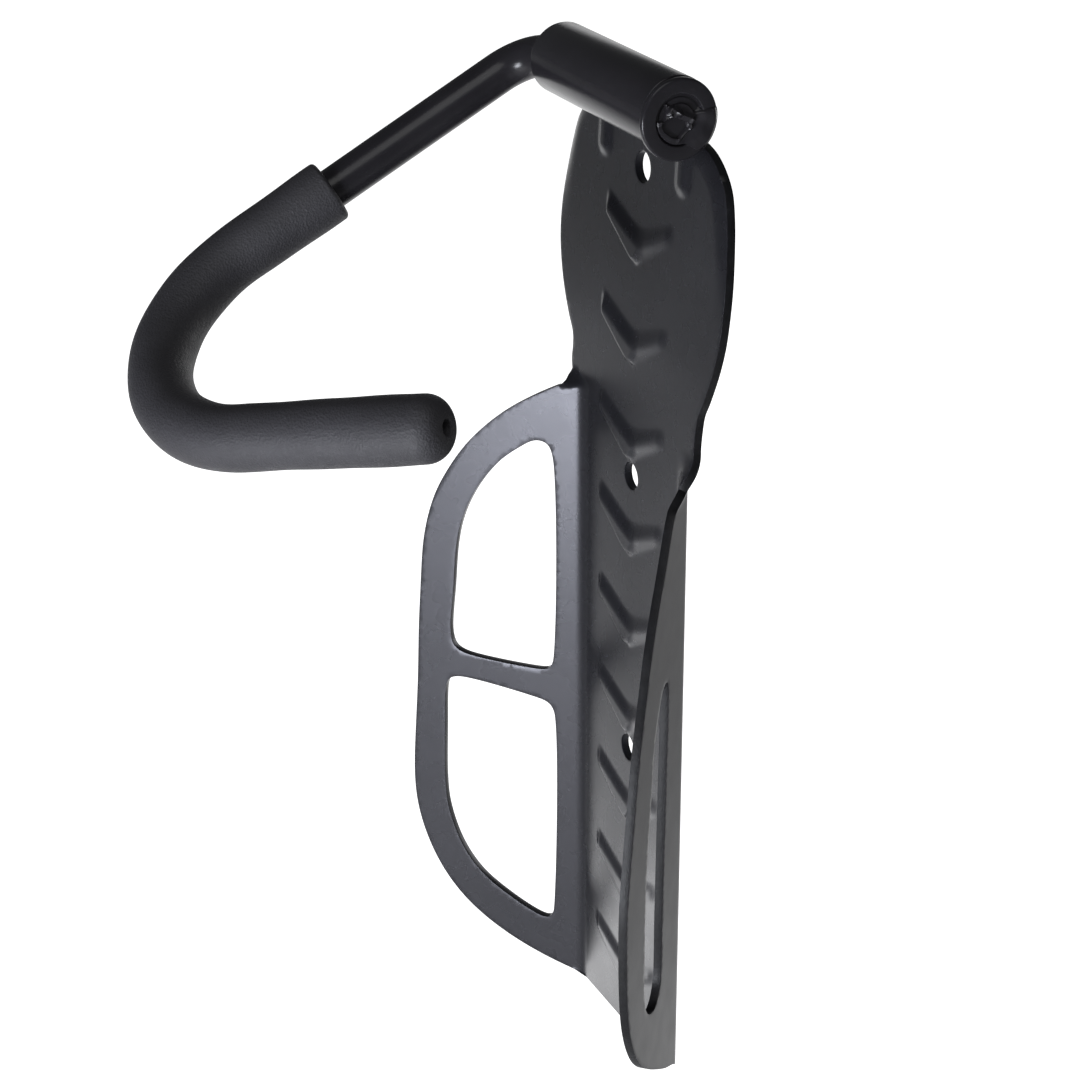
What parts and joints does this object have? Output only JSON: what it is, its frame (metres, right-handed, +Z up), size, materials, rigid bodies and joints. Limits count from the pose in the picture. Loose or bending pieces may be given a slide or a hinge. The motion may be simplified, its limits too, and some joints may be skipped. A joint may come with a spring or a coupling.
{
  "type": "bicycle wall rack",
  "caption": "Pressed steel wall plate with flared wheel guards and a folding, foam-covered bent steel hook that hangs a bicycle by its wheel.",
  "frame": {"origin": "centre of the middle screw hole on the plate's back face, which lies on the wall", "axes": "+Z up along the wall, +Y into the wall, -Y out towards the bicycle, +X to the right of someone facing the wall"},
  "size_m": [0.151, 0.1469, 0.3164],
  "materials": {
    "powder_coated_sheet": "satin black powder coat",
    "gloss_black_steel": "gloss black powder coat",
    "foam_grip": "matt closed-cell foam with a fine grain"
  },
  "bodies": {
    "wall_plate": {"back_plate": "powder_coated_sheet", "pivot_barrel": "gloss_black_steel", "weld_beads": "gloss_black_steel"},
    "hook": {"hook_rod": "gloss_black_steel", "end_washer": "gloss_black_steel", "foam_sleeve": "foam_grip"}
  },
  "joints": [
    {"name": "hook_fold", "type": "hinge", "parent": "wall_plate", "child": "hook", "pos_m": [0, -0.0075, 0.1154], "axis": [-1, 0, 0], "range_deg": [0, 118]}
  ]
}
